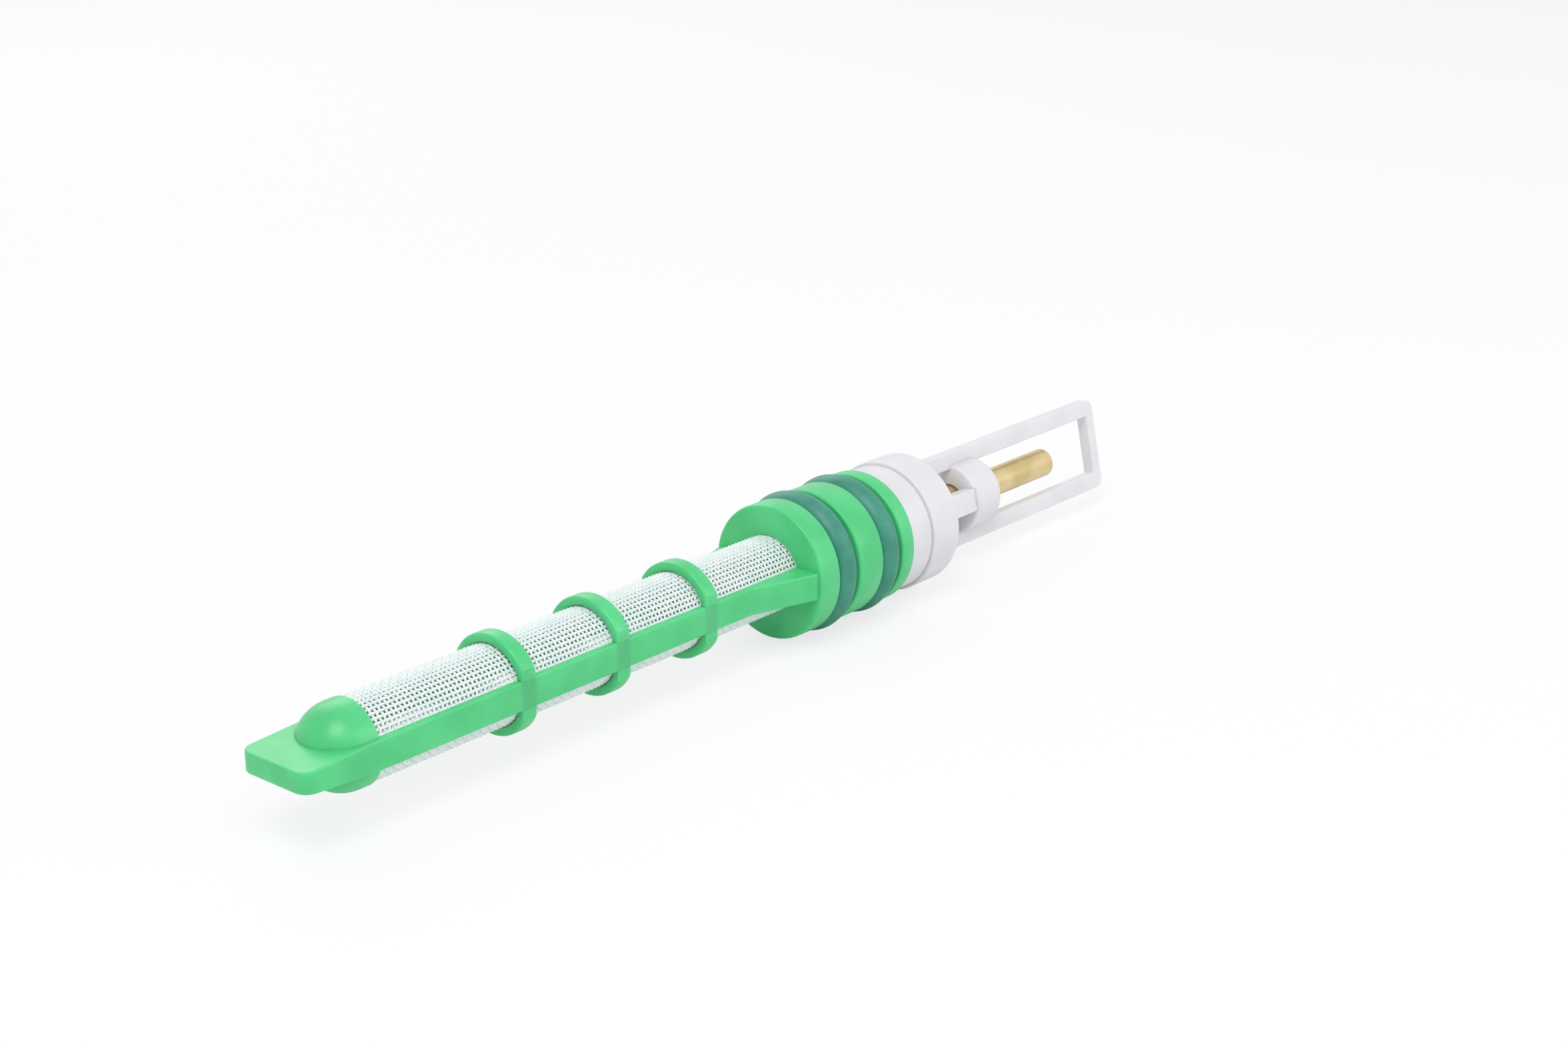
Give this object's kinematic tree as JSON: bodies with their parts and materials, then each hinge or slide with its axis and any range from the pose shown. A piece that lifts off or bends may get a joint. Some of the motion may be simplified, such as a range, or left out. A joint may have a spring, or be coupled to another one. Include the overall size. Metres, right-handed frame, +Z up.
{
  "type": "refrigerant orifice tube",
  "caption": "Fixed orifice tube for a refrigerant line: screened inlet cage, sealing head with O-rings, brass metering tube and windowed outlet body.",
  "frame": {"origin": "on the flow axis, at the middle of the outlet body's collar", "axes": "+X along the flow axis towards the outlet, +Z up and square to the inlet cage's flat tip plate"},
  "size_m": [0.0724, 0.0088, 0.0088],
  "materials": {
    "green_plastic": "smooth moulded, slightly translucent green",
    "screen_weave": "fine woven monofilament",
    "seal_rubber": "satin with a fine parting line",
    "brass": "drawn, satin",
    "natural_plastic": "natural white moulded"
  },
  "bodies": {
    "root": {"inlet_cage": "green_plastic", "inlet_screen": "screen_weave", "o_ring_inlet": "seal_rubber", "o_ring_outlet": "seal_rubber", "orifice_tube": "brass", "outlet_body": "natural_plastic"}
  },
  "joints": []
}
